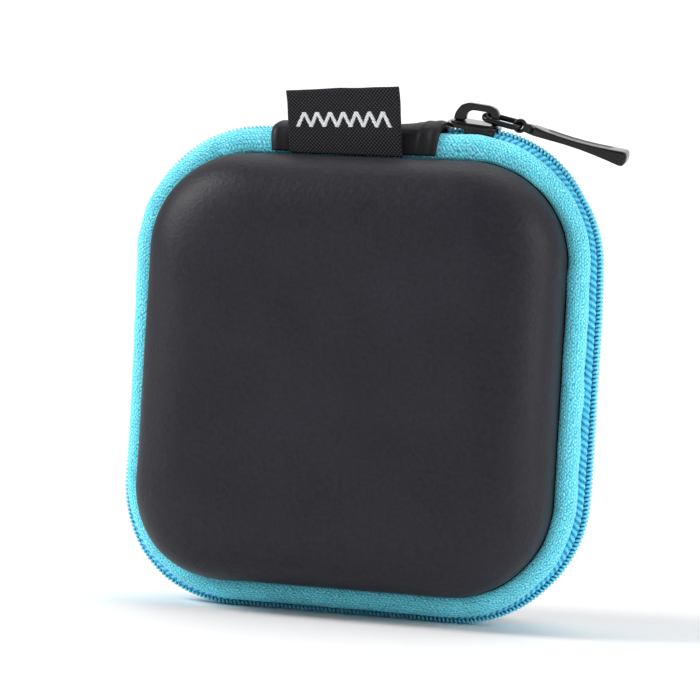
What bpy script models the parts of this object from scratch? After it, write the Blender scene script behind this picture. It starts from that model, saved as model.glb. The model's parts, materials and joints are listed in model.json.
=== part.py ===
"""A small zippered hard-shell case for earphones, closed and standing on its zipper edge.

Frame: +X to the right, -Y towards the front, +Z up, in metres. The case's own middle lies on X = CASE_X and
the parting plane of its two halves on Y = 0. An inset is a distance inwards from the zipper's crest, the
outermost line of the case, and a depth is a distance from the parting plane, forwards on the front half and
backwards on the rear half.
"""

import math

import bmesh
import bpy
from mathutils import Matrix, Vector

MM = 0.001

# The outline of the zipper's crest
HALF_WIDTH = 40.0 * MM
HALF_HEIGHT = 41.0 * MM
CORNER_RADIUS = 21.5 * MM
CORNER_STEPS = 6
CASE_X = -1.85 * MM  # the pull overhangs on the right, so the box's middle is right of the case's

# The crowned shell, from its upright wall to its flat middle
WALL_INSET = 4.8 * MM
WALL_DEPTH = 6.4 * MM
CROWN_DEPTH = 17.75 * MM
CROWN_RUN = 12.5 * MM
CROWN_POWER = 2.46
CROWN_STEPS = 6
CROWN_CORNER_SHARE = 0.6  # how fast the corner radius falls as the crown rises

# Layers of the wall: where each starts and ends below the outer surface
SKIN_LAYER = (0.0, 0.6 * MM)
FOAM_LAYER = (0.9 * MM, 2.5 * MM)
LINING_LAYER = (2.8 * MM, 3.3 * MM)
SKIN_RIM_DEPTH = 4.9 * MM
RIM_DEPTH = 2.0 * MM
FLANGE_INSET = 2.35 * MM
FLANGE_DEPTHS = (4.5 * MM, 3.0 * MM)

# The binding rolled round the shell's flange
BINDING_INSET = 2.75 * MM
BINDING_DEPTH = 3.75 * MM
BINDING_RADIUS = 1.75 * MM
BINDING_LIP_INSET = 4.4 * MM

# The zipper and the hinge that closes the loop at the top
HINGE_LEFT = -15.5 * MM
HINGE_RIGHT = 12.9 * MM
GAP = 0.3 * MM
HINGE_AXIS_Z = 83.3 * MM

# The slider and its pull, seen from the front
SLIDER_PLACE = Vector((17.8 * MM, 0, 82.9 * MM))
SLIDER_TILT = math.radians(7)
SLIDER_LENGTH = 9.0 * MM
SLIDER_WIDTH = 6.8 * MM
PLATE_THICKNESS = 1.0 * MM
BRIDGE_WIDTH = 1.2 * MM
LINK_PIN = Vector((1.1 * MM, 0, 2.2 * MM))  # in the slider's own frame
LINK_LENGTH = 6.2 * MM
LINK_WIRE = 0.4 * MM
LINK_HALF_WIDTH = 1.35 * MM
LINK_DROOP = math.radians(13)
TAB_LENGTH = 18.8 * MM
TAB_DROOP = math.radians(15)
KNUCKLE_RADIUS = 1.3 * MM
KNUCKLE_HOLE = 0.75 * MM
KNUCKLE_HALF_WIDTH = 0.7 * MM

# The folded label and the mesh pocket
LABEL_LEFT = -12.6 * MM
LABEL_RIGHT = 6.6 * MM
LABEL_BOTTOM = 78.05 * MM
LABEL_TOP = 88.0 * MM
LABEL_DEPTHS = (6.4 * MM, 7.4 * MM)
LABEL_TILT = math.radians(-3.5)
POCKET_INSET = 8.4 * MM
POCKET_DEPTHS = (3.2 * MM, 3.6 * MM)
POCKET_TOP = 50.0 * MM
ELASTIC_HEIGHT = 2.5 * MM
ELASTIC_DEPTHS = (2.9 * MM, 3.9 * MM)

FRONT = -1
REAR = 1
SIDES = {"front": FRONT, "rear": REAR}

COLOURS = {
    "leatherette": ((0.018, 0.017, 0.024), 0.55, 0.0),
    "eva_foam": ((0.03, 0.03, 0.035), 0.9, 0.0),
    "lining": ((0.02, 0.02, 0.022), 0.95, 0.0),
    "binding": ((0.1, 0.66, 0.83), 0.8, 0.0),
    "zipper_tape": ((0.03, 0.36, 0.62), 0.85, 0.0),
    "zipper_coil": ((0.05, 0.5, 0.75), 0.45, 0.0),
    "label": ((0.012, 0.012, 0.013), 0.9, 0.0),
    "mesh": ((0.015, 0.015, 0.016), 0.9, 0.0),
    "elastic": ((0.02, 0.02, 0.022), 0.9, 0.0),
    "gunmetal": ((0.05, 0.05, 0.055), 0.22, 0.9),
}


def material(slot):
    """The slot's material, made once."""
    found = bpy.data.materials.get(slot)
    if found:
        return found
    made = bpy.data.materials.new(slot)
    made.use_nodes = True
    colour, roughness, metallic = COLOURS[slot]
    shader = made.node_tree.nodes["Principled BSDF"]
    shader.inputs["Base Color"].default_value = (*colour, 1.0)
    shader.inputs["Roughness"].default_value = roughness
    shader.inputs["Metallic"].default_value = metallic
    return made


def empty(name, place):
    """A helper on a joint's axis, or at the case's own origin."""
    made = bpy.data.objects.new(name, None)
    bpy.context.scene.collection.objects.link(made)
    made.location = place
    return made


def new_object(name, shape, slot, smooth=True):
    """An object from a bmesh, with its faces turned outwards."""
    bmesh.ops.remove_doubles(shape, verts=shape.verts, dist=1e-7)
    bmesh.ops.recalc_face_normals(shape, faces=shape.faces)
    mesh = bpy.data.meshes.new(name)
    shape.to_mesh(mesh)
    shape.free()
    if smooth:
        mesh.shade_smooth()
        mesh.set_sharp_from_angle(angle=math.radians(40))
    made = bpy.data.objects.new(name, mesh)
    bpy.context.scene.collection.objects.link(made)
    mesh.materials.append(material(slot))
    return made


def attach(made, parent):
    """Parents an object modelled in the case's own frame, which keeps its place."""
    made.parent = parent
    made.location = case_origin - parent.location
    return made


def helper(made):
    """Marks a cutter or an added shape as a helper of another object."""
    made.hide_render = True
    made.display_type = "WIRE"
    return made


def combine(made, other, operation):
    """Adds a Boolean of a helper in the same frame."""
    helper(other)
    other.parent = made.parent
    other.location = made.location
    other.rotation_euler = made.rotation_euler
    boolean = made.modifiers.new(other.name, "BOOLEAN")
    boolean.operation = operation
    boolean.object = other
    boolean.solver = "EXACT"


def loft(loops, joined=False):
    """A closed body over loops of equally many points, with end faces or with the last loop joined to the first."""
    shape = bmesh.new()
    rows = [[shape.verts.new(point) for point in loop] for loop in loops]
    pairs = list(zip(rows, rows[1:]))
    if joined:
        pairs.append((rows[-1], rows[0]))
    for one, two in pairs:
        for i in range(len(one)):
            j = (i + 1) % len(one)
            shape.faces.new((one[i], one[j], two[j], two[i]))
    if not joined:
        shape.faces.new(rows[0])
        shape.faces.new(rows[-1])
    return shape


def box(low, high):
    """A box between two corners."""
    size = Vector(high) - Vector(low)
    shape = bmesh.new()
    bmesh.ops.create_cube(shape, size=1, matrix=Matrix.Diagonal((*size, 1)))
    bmesh.ops.translate(shape, verts=shape.verts, vec=(Vector(high) + Vector(low)) / 2)
    return shape


def prism(points, low, high):
    """An outline of (x, z) points, extruded from y = low to y = high."""
    return loft([[Vector((x, y, z)) for x, z in points] for y in (low, high)])


def corner_arc(inset, radius, quarter):
    """One rounded corner as (x, z) points, clockwise from the front. Quarter 0 is the top right one."""
    across = (HALF_WIDTH - inset - radius) * (1 if quarter in (0, 1) else -1)
    up = (HALF_HEIGHT - inset - radius) * (1 if quarter in (0, 3) else -1)
    arc = []
    for step in range(CORNER_STEPS + 1):
        angle = math.radians(90 * (1 - quarter - step / CORNER_STEPS))
        arc.append((across + radius * math.cos(angle), HALF_HEIGHT + up + radius * math.sin(angle)))
    return arc


def outline(inset, radius=None):
    """The rounded square at an inset, as (x, z) points."""
    radius = CORNER_RADIUS - inset if radius is None else radius
    return [point for quarter in range(4) for point in corner_arc(inset, radius, quarter)]


def ring(inset, depth, side, radius=None):
    """The rounded square at an inset and a depth."""
    return [Vector((x, side * depth, z)) for x, z in outline(inset, radius)]


def zipper_route(inset):
    """The outline between the hinge's two ends, the long way round."""
    top = 2 * HALF_HEIGHT - inset
    return [(HINGE_RIGHT + GAP, top), *outline(inset), (HINGE_LEFT - GAP, top)]


def crown_profile():
    """The shell's outer surface from its wall to its flat middle: (inset, depth, outward normal) in turn."""
    rise = CROWN_DEPTH - WALL_DEPTH
    power = 2 / CROWN_POWER
    points = []
    for step in range(CROWN_STEPS + 1):
        angle = math.pi / 2 * step / CROWN_STEPS
        across, up = max(math.cos(angle), 0) ** power, math.sin(angle) ** power
        inset = WALL_INSET + CROWN_RUN * (1 - across)
        depth = WALL_DEPTH + rise * up
        slope = Vector((across ** (CROWN_POWER - 1) / CROWN_RUN, up ** (CROWN_POWER - 1) / rise))
        points.append((inset, depth, slope.normalized()))
    return points


def layer_rings(below, side):
    """Rings over the wall and crown, a distance below the outer surface."""
    rings = []
    for inset, depth, normal in crown_profile():
        radius = CORNER_RADIUS - WALL_INSET - CROWN_CORNER_SHARE * (inset - WALL_INSET)
        inwards = below * normal[0]
        rings.append(ring(inset + inwards, depth - below * normal[1], side, radius - inwards))
    return rings


def shell_layer(name, slot, layer, rim, side):
    """One layer of a half's wall: down from the outer middle, round the rim and up to the inner middle.
    rim lists the (inset, depth) corners between the two surfaces."""
    outer = layer_rings(layer[0], side)
    inner = layer_rings(layer[1], side)
    edge = [ring(inset, depth, side) for inset, depth in rim]
    return new_object(name, loft([*reversed(outer), *edge, *inner]), slot)


def make_shell(half, side, parent):
    """The leatherette skin, the moulded foam shell with its flange, and the lining."""
    skin_out, skin_in = (WALL_INSET + below for below in SKIN_LAYER)
    skin_rim = [(skin_out, SKIN_RIM_DEPTH), (skin_in, SKIN_RIM_DEPTH)]
    attach(shell_layer(f"{half}_skin", "leatherette", SKIN_LAYER, skin_rim, side), parent)

    foam_out, foam_in = (WALL_INSET + below for below in FOAM_LAYER)
    high, low = FLANGE_DEPTHS
    foam_rim = [
        (foam_out, high),
        (FLANGE_INSET, high),
        (FLANGE_INSET, low),
        (foam_out, low),
        (foam_out, RIM_DEPTH),
        (foam_in, RIM_DEPTH),
    ]
    attach(shell_layer(f"{half}_foam_shell", "eva_foam", FOAM_LAYER, foam_rim, side), parent)

    lining_out, lining_in = (WALL_INSET + below for below in LINING_LAYER)
    lining_rim = [(lining_out, RIM_DEPTH), (lining_in, RIM_DEPTH)]
    attach(shell_layer(f"{half}_lining", "lining", LINING_LAYER, lining_rim, side), parent)


def binding_section():
    """The binding's C-shaped section as (inset, depth) points: the roll, then the slot for the flange."""
    section = [(BINDING_LIP_INSET, BINDING_DEPTH + 1.5 * MM)]
    for degrees in (100, 70, 35, 0, -35, -70, -100):
        angle = math.radians(degrees)
        inset = BINDING_INSET - BINDING_RADIUS * math.cos(angle)
        section.append((inset, BINDING_DEPTH + BINDING_RADIUS * math.sin(angle)))
    section.append((BINDING_LIP_INSET, BINDING_DEPTH - 1.5 * MM))
    high, low = FLANGE_DEPTHS
    section += [
        (BINDING_LIP_INSET, low - GAP),
        (FLANGE_INSET - GAP, low - GAP),
        (FLANGE_INSET - 2 * GAP, BINDING_DEPTH),
        (FLANGE_INSET - GAP, high + GAP),
        (BINDING_LIP_INSET, high + GAP),
    ]
    return section


def make_binding(half, side, parent):
    """The woven binding, the whole way round the flange."""
    loops = [ring(inset, depth, side) for inset, depth in binding_section()]
    attach(new_object(f"{half}_binding", loft(loops, joined=True), "binding"), parent)


# Sections of the zipper as (inset, depth) points. The tape turns inwards to where it is sewn to the rim.
TAPE_SECTION = [
    (1.65 * MM, 0.5 * MM),
    (1.65 * MM, 1.65 * MM),
    (7.2 * MM, 1.65 * MM),
    (7.2 * MM, 1.3 * MM),
    (2.0 * MM, 1.3 * MM),
    (2.0 * MM, 0.5 * MM),
]
COIL_SECTION = [
    (1.35 * MM, 0.5 * MM),
    (1.35 * MM, 1.9 * MM),
    (0.8 * MM, 2.1 * MM),
    (0.0, 1.7 * MM),
    (0.0, 0.9 * MM),
    (0.45 * MM, 0.5 * MM),
]
COVER_SECTION = [
    (-0.7 * MM, 0.2 * MM),
    (-0.6 * MM, 3.2 * MM),
    (0.1 * MM, 4.9 * MM),
    (1.4 * MM, 5.9 * MM),
    (3.0 * MM, 6.1 * MM),
    (4.6 * MM, 6.1 * MM),
    (4.6 * MM, 5.8 * MM),
    (3.0 * MM, 5.8 * MM),
    (1.6 * MM, 5.55 * MM),
    (0.75 * MM, 4.75 * MM),
    (0.5 * MM, 3.2 * MM),
    (0.4 * MM, 0.2 * MM),
]


def sweep_zipper(section, side):
    """A section carried along the zipper's route."""
    routes = [zipper_route(inset) for inset, _ in section]
    depths = [side * depth for _, depth in section]
    loops = []
    for places in zip(*routes):
        loops.append([Vector((x, depth, z)) for (x, z), depth in zip(places, depths)])
    return loft(loops)


def sweep_hinge(section, side):
    """A section carried straight across the hinge."""
    top = 2 * HALF_HEIGHT
    loops = []
    for x in (HINGE_LEFT, HINGE_RIGHT):
        loops.append([Vector((x, side * depth, top - inset)) for inset, depth in section])
    return loft(loops)


def make_zipper(half, side, parent):
    """One stringer of the zipper, and the half's share of the hinge that closes the loop."""
    attach(new_object(f"{half}_zipper_tape", sweep_zipper(TAPE_SECTION, side), "zipper_tape"), parent)
    attach(new_object(f"{half}_zipper_coil", sweep_zipper(COIL_SECTION, side), "zipper_coil"), parent)
    attach(new_object(f"{half}_hinge_lining", sweep_hinge(TAPE_SECTION, side), "lining"), parent)
    attach(new_object(f"{half}_hinge_cover", sweep_hinge(COVER_SECTION, side), "leatherette"), parent)


def make_label(parent):
    """A woven tape folded double, its two ends sewn in at the foot of the front shell."""
    near, far = LABEL_DEPTHS
    cloth = 0.35 * MM
    round_off = 0.3 * MM
    top, bottom = LABEL_TOP, LABEL_BOTTOM
    section = [
        (near, bottom),
        (near, top - round_off),
        (near + round_off, top),
        (far - round_off, top),
        (far, top - round_off),
        (far, bottom),
        (far - cloth, bottom),
        (far - cloth, top - 2 * round_off),
        (near + cloth, top - 2 * round_off),
        (near + cloth, bottom),
    ]
    middle = Vector(((LABEL_LEFT + LABEL_RIGHT) / 2, 0, bottom))
    half_length = (LABEL_RIGHT - LABEL_LEFT) / 2
    loops = [[Vector((x, -depth, z - bottom)) for depth, z in section] for x in (-half_length, half_length)]
    label = attach(new_object("label", loft(loops), "label"), parent)
    label.location += middle
    label.rotation_euler = (0, LABEL_TILT, 0)


def make_pocket(parent):
    """The mesh pocket across the lower part of the front half, with its elastic top edge."""
    radius = CORNER_RADIUS - POCKET_INSET
    lower = [point for quarter in (1, 2) for point in corner_arc(POCKET_INSET, radius, quarter)]
    side = HALF_WIDTH - POCKET_INSET
    sheet = prism([(side, POCKET_TOP), *lower, (-side, POCKET_TOP)], -POCKET_DEPTHS[1], -POCKET_DEPTHS[0])
    attach(new_object("mesh_pocket", sheet, "mesh"), parent)

    low, high = POCKET_TOP + GAP, POCKET_TOP + GAP + ELASTIC_HEIGHT
    band = box((-side, -ELASTIC_DEPTHS[1], low), (side, -ELASTIC_DEPTHS[0], high))
    attach(new_object("pocket_elastic", band, "elastic", smooth=False), parent)


def place_on_slider(made, parent):
    """Puts an object that is modelled in the slider's frame, whose origin is under the middle of the plate."""
    made.parent = parent
    made.location = case_origin + SLIDER_PLACE - parent.location
    made.rotation_euler = (0, SLIDER_TILT, 0)
    return made


def plate_outline():
    """The slider plate seen from above: round at the back, broad at the shoulders, as (x, y) points."""
    half_length, half_width = SLIDER_LENGTH / 2, SLIDER_WIDTH / 2
    points = []
    for degrees in range(0, 360, 15):
        angle = math.radians(degrees)
        across = abs(math.cos(angle)) ** 0.55 * math.copysign(1, math.cos(angle))
        along = abs(math.sin(angle)) ** 0.7 * math.copysign(1, math.sin(angle))
        taper = 1 - 0.12 * across
        points.append((half_length * across, half_width * along * taper))
    return points


def make_slider(parent):
    """The slider body: an outer plate with flanges, and an inner plate on a thin post between the coils."""
    plate = loft([[Vector((x, y, z)) for x, y in plate_outline()] for z in (0, PLATE_THICKNESS)])
    body = place_on_slider(new_object("slider_body", plate, "gunmetal"), parent)
    overlap = 0.2 * MM
    for name, side in SIDES.items():
        low, high = sorted((side * 2.4 * MM, side * 2.95 * MM))
        flange = box((-2.2 * MM, low, -1.3 * MM), (3.3 * MM, high, overlap))
        combine(body, new_object(f"flange_{name}", flange, "gunmetal"), "UNION")
    post = box((-1.5 * MM, -0.2 * MM, -4.2 * MM), (1.5 * MM, 0.2 * MM, overlap))
    combine(body, new_object("post", post, "gunmetal"), "UNION")
    inner = box((-3.0 * MM, -1.0 * MM, -4.6 * MM), (3.0 * MM, 1.0 * MM, -3.9 * MM))
    combine(body, new_object("inner_plate", inner, "gunmetal"), "UNION")

    foot = PLATE_THICKNESS + 0.2 * MM
    arch = [
        (-3.9 * MM, foot),
        (-3.5 * MM, 2.5 * MM),
        (-2.7 * MM, 3.6 * MM),
        (-1.4 * MM, 4.0 * MM),
        (1.8 * MM, 4.0 * MM),
        (3.3 * MM, 3.6 * MM),
        (4.1 * MM, 2.6 * MM),
        (4.1 * MM, 1.7 * MM),
        (3.6 * MM, foot),
        (1.9 * MM, foot),
        (1.9 * MM, 2.6 * MM),
        (1.4 * MM, 3.0 * MM),
        (-1.0 * MM, 3.0 * MM),
        (-1.7 * MM, 2.5 * MM),
        (-1.95 * MM, foot),
    ]
    bridge = new_object("slider_bridge", prism(arch, -BRIDGE_WIDTH / 2, BRIDGE_WIDTH / 2), "gunmetal")
    place_on_slider(bridge, parent)


def wire_ring(length, half_width, radius, sides=8, bend_steps=8):
    """An oval wire link, its near bend centred on the origin and its far bend on +X."""
    reach = length - 2 * half_width
    centres = []
    for x, start in ((half_width + reach, -90), (half_width, 90)):
        for step in range(bend_steps + 1):
            angle = math.radians(start + 180 * step / bend_steps)
            outwards = Vector((math.cos(angle), math.sin(angle), 0))
            centres.append((Vector((x, 0, 0)) + outwards * half_width, outwards))
    loops = []
    for centre, outwards in centres:
        turns = [2 * math.pi * k / sides for k in range(sides)]
        upwards = Vector((0, 0, 1))
        loops.append([centre + radius * (math.cos(t) * outwards + math.sin(t) * upwards) for t in turns])
    return loft(loops, joined=True)


def make_pull(link_parent, tab_parent):
    """The oval link, and the tab that hangs from it."""
    link = new_object("pull_link", wire_ring(LINK_LENGTH, LINK_HALF_WIDTH, LINK_WIRE), "gunmetal")
    link.parent = link_parent
    link.rotation_euler = (0, LINK_DROOP, 0)

    # Sections of the blade from the knuckle to the flared end: (along, half width, half thickness)
    sections = [
        (0.9, 0.7, 0.8),
        (1.9, 0.7, 0.85),
        (2.6, 1.5, 0.8),
        (4.0, 2.0, 0.7),
        (8.5, 2.1, 0.55),
        (13.0, 2.15, 0.7),
        (16.5, 2.25, 0.95),
        (18.5, 2.3, 1.15),
        (TAB_LENGTH / MM, 2.1, 1.05),
    ]
    loops = []
    for along, wide, thick in sections:
        corners = [(-wide, -thick), (wide, -thick), (wide, thick), (-wide, thick)]
        loops.append([Vector((along * MM, y * MM, z * MM)) for y, z in corners])
    tab = new_object("pull_tab", loft(loops), "gunmetal")
    tab.parent = tab_parent
    tab.rotation_euler = (0, TAB_DROOP, 0)

    quarter_turn = Matrix.Rotation(math.pi / 2, 4, "X")
    for name, radius, half, operation in (
        ("knuckle", KNUCKLE_RADIUS, KNUCKLE_HALF_WIDTH, "UNION"),
        ("knuckle_hole", KNUCKLE_HOLE, 2 * KNUCKLE_HALF_WIDTH, "DIFFERENCE"),
    ):
        barrel = bmesh.new()
        size = {"radius1": radius, "radius2": radius, "depth": 2 * half}
        bmesh.ops.create_cone(barrel, cap_ends=True, segments=20, matrix=quarter_turn, **size)
        combine(tab, new_object(name, barrel, "gunmetal"), operation)


for old in list(bpy.data.objects):
    bpy.data.objects.remove(old, do_unlink=True)

case_origin = Vector((CASE_X, 0, 0))
base = empty("case_origin", case_origin)
lid = empty("lid_hinge", case_origin + Vector((0, 0, HINGE_AXIS_Z)))
corner_middle = Vector((HALF_WIDTH - CORNER_RADIUS, 0, 2 * HALF_HEIGHT - CORNER_RADIUS))
slider_axis = empty("slider_axis", case_origin + corner_middle)
slider_turn = Matrix.Rotation(SLIDER_TILT, 3, "Y")
link_place = case_origin + SLIDER_PLACE + slider_turn @ LINK_PIN
link_axis = empty("link_axis", link_place)
wire_middle = Matrix.Rotation(LINK_DROOP, 3, "Y") @ Vector((LINK_LENGTH, 0, 0))
tab_axis = empty("tab_axis", link_place + wire_middle)

for half_name, half_side in SIDES.items():
    half_parent = lid if half_side == FRONT else base
    make_shell(half_name, half_side, half_parent)
    make_binding(half_name, half_side, half_parent)
    make_zipper(half_name, half_side, half_parent)
make_label(lid)
make_pocket(lid)
make_slider(slider_axis)
make_pull(link_axis, tab_axis)
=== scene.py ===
"""The looks of a small zippered hard-shell earphone case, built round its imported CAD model.

Metres, in the model's own frame: +X right, -Y towards the front half (the lid), +Z up. An inset is a distance
inwards from the zipper's crest and a depth is a distance from the parting plane, as in the CAD.
"""

import json
import math

import bpy
import numpy as np
from mathutils import Matrix, Vector


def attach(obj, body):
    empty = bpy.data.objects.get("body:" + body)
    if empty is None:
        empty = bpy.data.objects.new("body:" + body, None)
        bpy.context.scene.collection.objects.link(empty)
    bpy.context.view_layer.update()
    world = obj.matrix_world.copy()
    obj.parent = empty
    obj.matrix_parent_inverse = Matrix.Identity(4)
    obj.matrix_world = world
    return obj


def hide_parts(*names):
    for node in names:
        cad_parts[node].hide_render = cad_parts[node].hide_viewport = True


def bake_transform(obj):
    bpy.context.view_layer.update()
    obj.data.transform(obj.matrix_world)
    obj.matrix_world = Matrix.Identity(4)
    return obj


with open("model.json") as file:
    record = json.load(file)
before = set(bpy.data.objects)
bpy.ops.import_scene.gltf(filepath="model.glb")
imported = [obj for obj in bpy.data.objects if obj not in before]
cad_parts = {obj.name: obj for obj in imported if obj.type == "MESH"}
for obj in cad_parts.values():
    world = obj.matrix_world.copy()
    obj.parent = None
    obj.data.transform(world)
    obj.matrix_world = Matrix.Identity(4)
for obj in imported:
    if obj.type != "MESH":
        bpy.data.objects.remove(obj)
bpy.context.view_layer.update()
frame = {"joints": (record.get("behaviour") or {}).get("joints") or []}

MM = 0.001
JOINTS = {joint["name"]: joint for joint in frame["joints"]}
HINGE = Vector(JOINTS["lid_open"]["pos_m"])
CASE_X = HINGE.x

# The crest's outline, the shell's profile and the hinge, as in the CAD
HALF_WIDTH = 40.0 * MM
HALF_HEIGHT = 41.0 * MM
CORNER_RADIUS = 21.5 * MM
WALL_INSET = 4.8 * MM
WALL_DEPTH = 6.4 * MM
CROWN_DEPTH = 17.75 * MM
CROWN_RUN = 12.5 * MM
CROWN_POWER = 2.46
CROWN_CORNER_SHARE = 0.6
SKIN_RIM_DEPTH = 4.9 * MM
RIM_DEPTH = 2.0 * MM
BINDING_INSET = 2.75 * MM
BINDING_DEPTH = 3.75 * MM
HINGE_LEFT = -15.5 * MM
HINGE_RIGHT = 12.9 * MM

SIDES = {"front": (-1, "lid"), "rear": (1, "base")}

# ---------------------------------------------------------------- small tools

def waves(u, v, seed, scale, count=9):
    """Smooth noise over a plane, about -1 to 1: a sum of plane waves with a seeded spread of directions."""
    draw = np.random.default_rng(seed)
    total = 0
    for _ in range(count):
        angle = draw.uniform(0, 2 * np.pi)
        pitch = draw.uniform(0.6, 1.5) * 2 * np.pi / scale
        total = total + np.sin(pitch * (np.cos(angle) * u + np.sin(angle) * v) + draw.uniform(0, 2 * np.pi))
    return total / np.sqrt(count / 2) / 1.6

def smoothstep(x, low, high):
    t = np.clip((x - low) / (high - low), 0, 1)
    return t * t * (3 - 2 * t)

def tangents(path):
    """Unit directions along a path of points."""
    step = np.gradient(path, axis=0)
    return step / np.linalg.norm(step, axis=1)[:, None]

def distances(path):
    """The length of a path up to each of its points."""
    return np.concatenate([[0], np.cumsum(np.linalg.norm(np.diff(path, axis=0), axis=1))])

def columned(values, count):
    """A row of values turned into a column and repeated count times."""
    return np.repeat(values[:, None], count, 1)

def stacked(values, count):
    """A row of values repeated count times, one below the other."""
    return np.repeat(values[None], count, 0)

def circle(count, shift=0.0):
    """Evenly spaced angles round a full turn."""
    return 2 * np.pi * (np.arange(count) + shift) / count

def squared(wave, power):
    """A sine or cosine with its peaks broadened, for sections between a circle and a square."""
    return np.sign(wave) * np.abs(wave) ** power

def tube_faces(rows, columns, rows_join=False, caps=False):
    """Quads of indices for a grid of points whose columns join round. caps closes the two ends with a strip
    of quads, which suits sections that are star-shaped about their middle."""
    index = np.arange(rows * columns).reshape(rows, columns)
    i, j = np.meshgrid(np.arange(rows if rows_join else rows - 1), np.arange(columns), indexing="ij")
    i, j = i.ravel(), j.ravel()
    i2, j2 = (i + 1) % rows, (j + 1) % columns
    faces = [np.stack([index[i, j], index[i, j2], index[i2, j2], index[i2, j]], 1)]
    if caps:
        k = np.arange(columns // 2)
        for ring, turn in ((index[0], 1), (index[-1], -1)):
            quads = np.stack([ring[k], ring[(columns - k) % columns], ring[columns - k - 1], ring[k + 1]], 1)
            faces.append(quads[:, ::turn])
    return np.concatenate(faces)

def linked(name, mesh):
    """An object in the scene with a mesh."""
    made = bpy.data.objects.new(name, mesh)
    bpy.context.scene.collection.objects.link(made)
    return made

def mesh_object(name, points, faces, material, uv=None, attributes=None):
    """An object from arrays, its quads turned to face outwards: uv has four pairs for each face."""
    a, b, c, d = (points[faces[:, k]] for k in range(4))
    volume = (np.einsum("ij,ij->i", a, np.cross(b, c)) + np.einsum("ij,ij->i", a, np.cross(c, d))).sum()
    if volume < 0:
        faces = faces[:, ::-1]
        uv = None if uv is None else uv[:, ::-1]
    mesh = bpy.data.meshes.new(name)
    mesh.from_pydata([], [], [])
    mesh.vertices.add(len(points))
    mesh.vertices.foreach_set("co", points.astype(np.float32).ravel())
    mesh.loops.add(faces.size)
    mesh.loops.foreach_set("vertex_index", faces.astype(np.int32).ravel())
    mesh.polygons.add(len(faces))
    mesh.polygons.foreach_set("loop_start", np.arange(0, faces.size, 4, dtype=np.int32))
    mesh.update(calc_edges=True)
    if uv is not None:
        mesh.uv_layers.new(name="pattern").data.foreach_set("uv", uv.astype(np.float32).ravel())
    for key, values in (attributes or {}).items():
        layer = mesh.attributes.new(key, "FLOAT", "POINT")
        layer.data.foreach_set("value", np.asarray(values, np.float32).ravel())
    mesh.validate()
    mesh.shade_smooth()
    mesh.materials.append(material)
    return linked(name, mesh)

def grid(name, points, material, rows_join=False, caps=False, uv=None, attributes=None):
    """A tube-like surface: points[row, column], the columns joined round. uv has one column more."""
    rows, columns = points.shape[:2]
    faces = tube_faces(rows, columns, rows_join, caps)
    corner_uv = None
    if uv is not None:
        corner_uv = np.zeros((len(faces), 4, 2))
        corners = np.stack([uv[:-1, :-1], uv[:-1, 1:], uv[1:, 1:], uv[1:, :-1]], 2)
        corner_uv[: (rows - 1) * columns] = corners.reshape(-1, 4, 2)
    return mesh_object(name, points.reshape(-1, 3), faces, material, corner_uv, attributes)

def smooth_path(corners, count, rounds=3):
    """A rounded path through a polyline's corners: cut corners, then even spacing."""
    path = np.array(corners, float)
    for _ in range(rounds):
        one, two = path[:-1] * 0.75 + path[1:] * 0.25, path[:-1] * 0.25 + path[1:] * 0.75
        path = np.concatenate([path[:1], np.stack([one, two], 1).reshape(-1, path.shape[1]), path[-1:]])
    length = distances(path)
    even = np.linspace(0, length[-1], count)
    return np.stack([np.interp(even, length, path[:, k]) for k in range(path.shape[1])], 1)

# ---------------------------------------------------------------- materials

class Surface:
    """A material being built. Constants go on the shader's own sockets, by name."""

    def __init__(self, name, **values):
        self.material = bpy.data.materials.new(name)
        self.material.use_nodes = True
        self.tree = self.material.node_tree
        self.shader = self.tree.nodes["Principled BSDF"]
        self.place = self.node("TexCoord").outputs["Object"]
        for key, value in values.items():
            self.shader.inputs[key.replace("_", " ")].default_value = value

    def node(self, kind, inputs=None, **settings):
        """A shader node with its settings and inputs. An input is a value, or another node's output."""
        made = self.tree.nodes.new("ShaderNode" + kind)
        for key, value in settings.items():
            setattr(made, key, value)
        for key, value in (inputs or {}).items():
            if isinstance(value, bpy.types.NodeSocket):
                self.tree.links.new(value, made.inputs[key])
            else:
                made.inputs[key].default_value = value
        return made

    def plus(self, one, two):
        return self.node("Math", {0: one, 1: two}, operation="ADD").outputs[0]

    def minus(self, one, two):
        return self.node("Math", {0: one, 1: two}, operation="SUBTRACT").outputs[0]

    def times(self, one, two):
        return self.node("Math", {0: one, 1: two}, operation="MULTIPLY").outputs[0]

    def sine(self, one):
        return self.node("Math", {0: one}, operation="SINE").outputs[0]

    def noise(self, scale, detail=3.0, roughness=0.55):
        inputs = {"Vector": self.place, "Scale": scale, "Detail": detail, "Roughness": roughness}
        return self.node("TexNoise", inputs).outputs["Fac"]

    def relief(self):
        """The height that the mesh itself carries, 0 to 1."""
        return self.node("Attribute", attribute_name="relief").outputs["Fac"]

    def mapped(self, value, low, high, to_low, to_high):
        limits = {"From Min": low, "From Max": high, "To Min": to_low, "To Max": to_high}
        return self.node("MapRange", {"Value": value, **limits}).outputs[0]

    def link(self, output, socket):
        self.tree.links.new(output, self.shader.inputs[socket])

    def ramp(self, factor, *stops):
        """Two or three colours at places along a factor."""
        made = self.node("ValToRGB", {"Fac": factor})
        while len(made.color_ramp.elements) < len(stops):
            made.color_ramp.elements.new(0.5)
        for element, (place, colour) in zip(made.color_ramp.elements, stops):
            element.position = place
            element.color = (*colour, 1.0)
        return made.outputs["Color"]

    def coloured(self, factor, *stops):
        self.link(self.ramp(factor, *stops), "Base Color")

    def bumped(self, height, distance, strength):
        """Adds the bump and hands over the finished material."""
        made = self.node("Bump", {"Height": height, "Distance": distance, "Strength": strength})
        self.link(made.outputs["Normal"], "Normal")
        return self.material

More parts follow.
